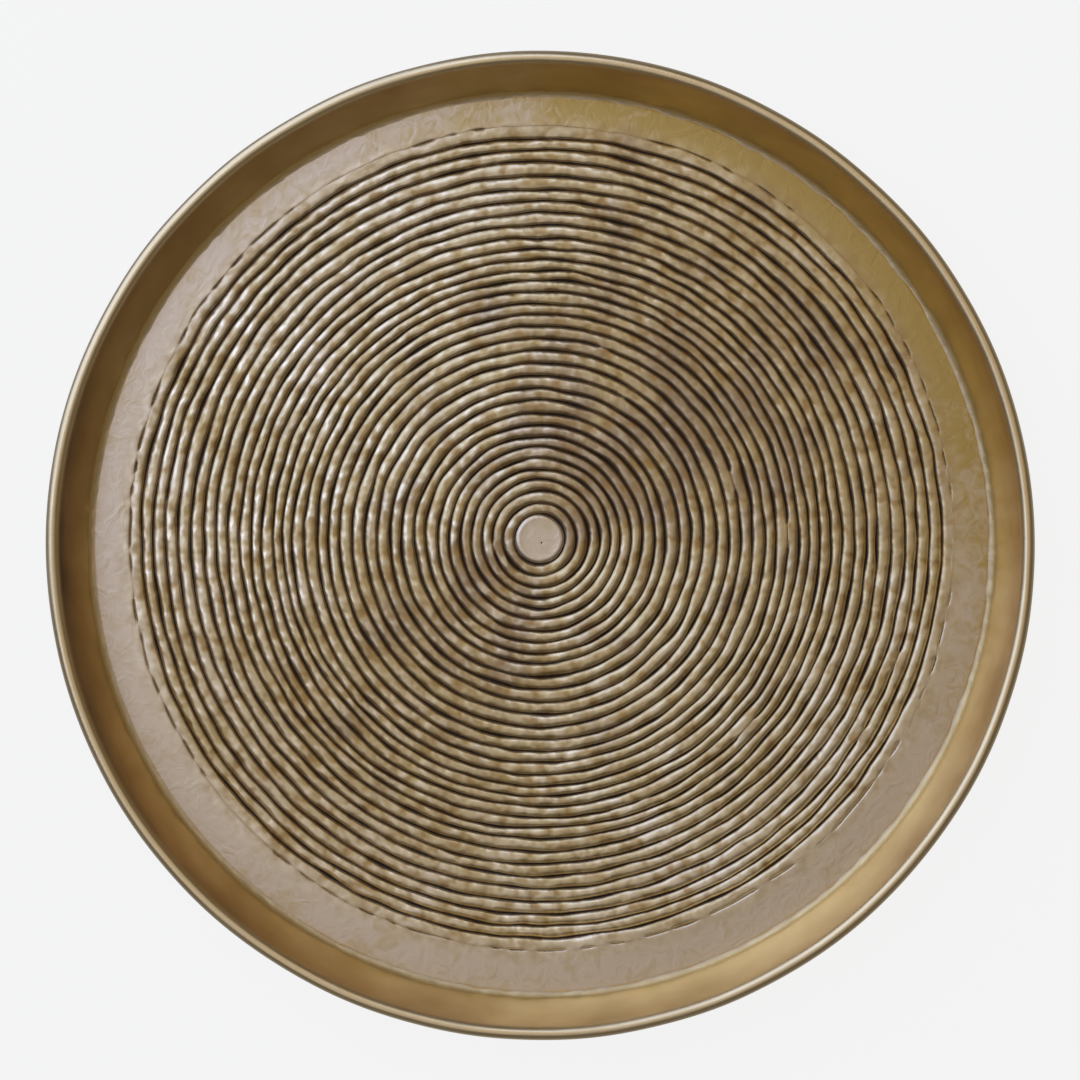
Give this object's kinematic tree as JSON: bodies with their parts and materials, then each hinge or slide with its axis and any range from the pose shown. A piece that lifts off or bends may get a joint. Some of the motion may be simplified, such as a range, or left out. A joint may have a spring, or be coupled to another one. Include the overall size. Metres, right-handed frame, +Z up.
{
  "type": "round brass tray",
  "caption": "Round serving tray with a concentrically ribbed cast floor, a flared side wall with a wired rolled lip, and felt pads underneath.",
  "frame": {"origin": "centre of the plane the felt pads stand on, under the centre of the rim", "axes": "+Z up, normal to the floor; the ring pattern of the floor lies off centre towards +Y"},
  "size_m": [0.4059, 0.406, 0.038],
  "materials": {
    "cast_brass": "antique cast brass, polished crests over dark brown patina in the grooves, clear lacquer",
    "wall_brass": "antique satin brass with light tool marks",
    "wire_steel": "drawn mild steel wire",
    "solder": "brazed fillet, uneven, with small dark pits",
    "felt": "dense pressed felt"
  },
  "bodies": {
    "root": {"floor_plate": "cast_brass", "side_wall": "wall_brass", "rim_wire": "wire_steel", "seam_solder": "solder", "felt_pad_1": "felt", "felt_pad_2": "felt", "felt_pad_3": "felt", "felt_pad_4": "felt"}
  },
  "joints": []
}
